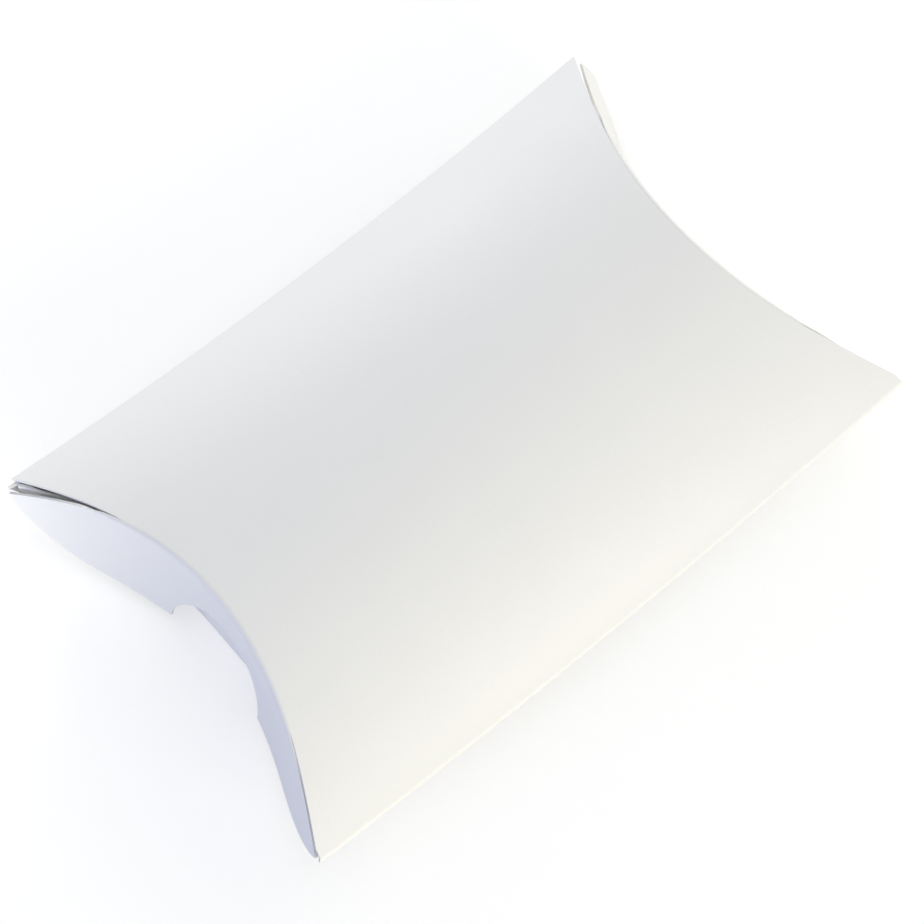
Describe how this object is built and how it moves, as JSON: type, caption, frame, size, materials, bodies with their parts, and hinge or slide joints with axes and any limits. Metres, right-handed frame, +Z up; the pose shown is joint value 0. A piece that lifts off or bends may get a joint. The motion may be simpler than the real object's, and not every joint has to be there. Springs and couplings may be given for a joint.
{
  "type": "pillow box",
  "caption": "Pillow-shaped folding gift box of thin white board, bent on curved creases, with tuck flaps closing both ends and a thumb notch in each outer flap.",
  "frame": {"origin": "middle of the flattened strip under the bottom panel, on the surface the box stands on", "axes": "+X along the box towards its right end, +Y across it towards the glued seam, +Z up through the top panel"},
  "size_m": [0.1188, 0.0786, 0.024],
  "materials": {
    "board": "smooth white solid board, uncoated",
    "glue": "dried film"
  },
  "bodies": {
    "carton": {"top_panel": "board", "bottom_panel": "board", "side_fold": "board", "seam_fold": "board", "glue_tab": "board", "glue_line": "glue"},
    "outer_flap_left": {"outer_flap_left": "board"},
    "outer_flap_right": {"outer_flap_right": "board"},
    "inner_flap_left": {"inner_flap_left": "board"},
    "inner_flap_right": {"inner_flap_right": "board"}
  },
  "joints": [
    {"name": "outer_crease_left", "type": "hinge", "parent": "carton", "child": "outer_flap_left", "pos_m": [-0.047, 0, 0.024], "axis": [0, 1, 0], "range_deg": [0, 105]},
    {"name": "inner_crease_left", "type": "hinge", "parent": "carton", "child": "inner_flap_left", "pos_m": [-0.047, 0, 0], "axis": [0, 1, 0], "range_deg": [-52.5, 0]},
    {"name": "outer_crease_right", "type": "hinge", "parent": "carton", "child": "outer_flap_right", "pos_m": [0.047, 0, 0.024], "axis": [0, -1, 0], "range_deg": [0, 105]},
    {"name": "inner_crease_right", "type": "hinge", "parent": "carton", "child": "inner_flap_right", "pos_m": [0.047, 0, 0], "axis": [0, -1, 0], "range_deg": [-52.5, 0]}
  ],
  "couplings": [
    {"joint": "inner_crease_left", "follows": "outer_crease_left", "ratio": -0.5},
    {"joint": "inner_crease_right", "follows": "outer_crease_right", "ratio": -0.5}
  ]
}
